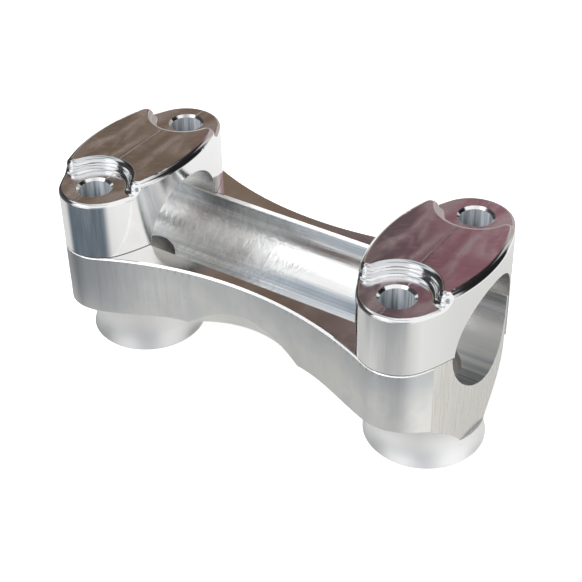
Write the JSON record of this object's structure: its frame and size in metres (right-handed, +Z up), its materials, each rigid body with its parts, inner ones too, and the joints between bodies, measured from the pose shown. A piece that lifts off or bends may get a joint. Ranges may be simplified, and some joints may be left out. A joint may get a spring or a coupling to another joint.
{
  "type": "handlebar clamp",
  "caption": "One-piece lower handlebar clamp with round bosses and separate end caps that close round a straight bar.",
  "frame": {"origin": "midway between the bosses in X, on the bar axis in Y, on the plane of the boss bottoms", "axes": "+X along the bar, +Y from front to rear, +Z up through the caps"},
  "size_m": [0.1204, 0.0564, 0.0555],
  "materials": {
    "polished_cap": "machined and polished",
    "machined_body": "machined, satin to bright"
  },
  "bodies": {
    "root": {"lower_clamp": "machined_body", "left_cap": "polished_cap", "right_cap": "polished_cap"}
  },
  "joints": []
}
